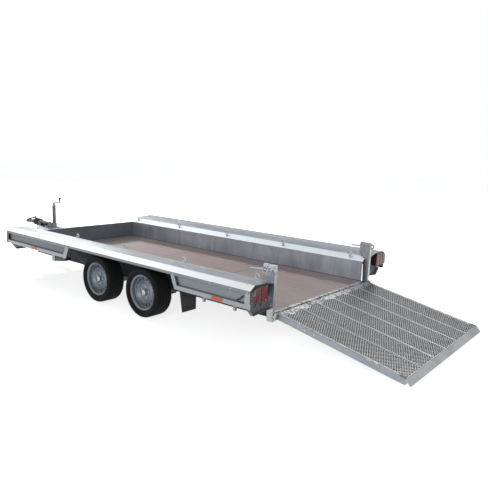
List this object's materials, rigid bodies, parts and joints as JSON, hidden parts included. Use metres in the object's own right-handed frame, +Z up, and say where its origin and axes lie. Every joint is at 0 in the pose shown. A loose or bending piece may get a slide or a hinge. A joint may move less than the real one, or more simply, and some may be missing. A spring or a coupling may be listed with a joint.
{
  "type": "tandem-axle plant trailer",
  "caption": "Low plant trailer with winged side walls, tandem wheels, an overrun drawbar with jockey wheel, and a rear loading ramp lowered to the ground.",
  "frame": {"origin": "centre of the bounding box in plan, on the ground that the tyres, the jockey wheel and the ramp's toe stand on", "axes": "+X forward to the coupling, +Y to the trailer's left, +Z up"},
  "size_m": [7.2434, 2.514, 0.84],
  "materials": {
    "galvanised_steel": "matte",
    "plywood": "satin",
    "tyre_rubber": "matte",
    "wheel_paint": "satin",
    "cast_steel": "matte",
    "black_plastic": "matte",
    "black_rubber": "matte",
    "blue_plastic": "satin",
    "red_lens": "gloss",
    "amber_lens": "gloss"
  },
  "bodies": {
    "trailer": {"axle_front": "galvanised_steel", "axle_rear": "galvanised_steel", "bellows": "black_rubber", "chassis_beam_left": "galvanised_steel", "chassis_beam_right": "galvanised_steel", "coupling_grip": "black_plastic", "coupling_head": "cast_steel", "cross_members": "galvanised_steel", "deck_floor": "plywood", "drawbar_leg_left": "galvanised_steel", "drawbar_leg_right": "galvanised_steel", "front_transom": "galvanised_steel", "front_wall": "galvanised_steel", "handbrake_lever": "black_plastic", "hinge_lugs": "galvanised_steel", "jockey_clamp": "galvanised_steel", "jockey_crank": "galvanised_steel", "jockey_grip": "black_plastic", "jockey_tube": "galvanised_steel", "lamp_housings": "black_plastic", "lamp_lenses": "red_lens", "lashing_rings": "galvanised_steel", "lighting_plug": "blue_plastic", "mudflaps": "black_rubber", "overrun_housing": "cast_steel", "ramp_latches": "galvanised_steel", "rear_post_left": "galvanised_steel", "rear_post_right": "galvanised_steel", "rear_sill": "galvanised_steel", "side_profile_left": "galvanised_steel", "side_profile_right": "galvanised_steel", "side_reflectors": "amber_lens", "sill_hooks": "galvanised_steel", "skirt_front_left": "galvanised_steel", "skirt_front_right": "galvanised_steel", "skirt_rear_left": "galvanised_steel", "skirt_rear_right": "galvanised_steel", "wheel_chocks": "black_plastic", "wing_webs": "galvanised_steel"},
    "ramp": {"ramp_rails": "galvanised_steel", "ramp_hinge_tubes": "galvanised_steel", "ramp_ribs": "galvanised_steel", "ramp_crossbars": "galvanised_steel", "ramp_mesh": "galvanised_steel", "ramp_toe": "galvanised_steel"},
    "jockey_leg": {"jockey_inner": "galvanised_steel"},
    "jockey_swivel": {"jockey_fork": "galvanised_steel"},
    "jockey_roller": {"jockey_wheel": "black_rubber"},
    "wheel_front_left": {"tyre_front_left": "tyre_rubber", "rim_front_left": "wheel_paint", "drum_front_left": "cast_steel"},
    "wheel_front_right": {"tyre_front_right": "tyre_rubber", "rim_front_right": "wheel_paint", "drum_front_right": "cast_steel"},
    "wheel_rear_left": {"tyre_rear_left": "tyre_rubber", "rim_rear_left": "wheel_paint", "drum_rear_left": "cast_steel"},
    "wheel_rear_right": {"tyre_rear_right": "tyre_rubber", "rim_rear_right": "wheel_paint", "drum_rear_right": "cast_steel"}
  },
  "joints": [
    {"name": "ramp_hinge", "type": "hinge", "parent": "trailer", "child": "ramp", "pos_m": [-2.36831, 0, 0.262], "axis": [0, 1, 0], "range_deg": [0, 100.8]},
    {"name": "wheel_front_left_spin", "type": "hinge", "parent": "trailer", "child": "wheel_front_left", "pos_m": [-0.19331, 1.148, 0.254], "axis": [0, 1, 0], "continuous": true},
    {"name": "wheel_front_right_spin", "type": "hinge", "parent": "trailer", "child": "wheel_front_right", "pos_m": [-0.19331, -1.148, 0.254], "axis": [0, 1, 0], "continuous": true},
    {"name": "wheel_rear_left_spin", "type": "hinge", "parent": "trailer", "child": "wheel_rear_left", "pos_m": [-0.95831, 1.148, 0.254], "axis": [0, 1, 0], "continuous": true},
    {"name": "wheel_rear_right_spin", "type": "hinge", "parent": "trailer", "child": "wheel_rear_right", "pos_m": [-0.95831, -1.148, 0.254], "axis": [0, 1, 0], "continuous": true},
    {"name": "jockey_lift", "type": "slide", "parent": "trailer", "child": "jockey_leg", "axis": [0, 0, 1], "range_m": [-0.09, 0.075]},
    {"name": "jockey_turn", "type": "hinge", "parent": "jockey_leg", "child": "jockey_swivel", "pos_m": [3.01069, -0.15, 0.25], "axis": [0, 0, 1], "continuous": true},
    {"name": "jockey_roll", "type": "hinge", "parent": "jockey_swivel", "child": "jockey_roller", "pos_m": [2.96569, -0.15, 0.1], "axis": [0, 1, 0], "continuous": true}
  ]
}
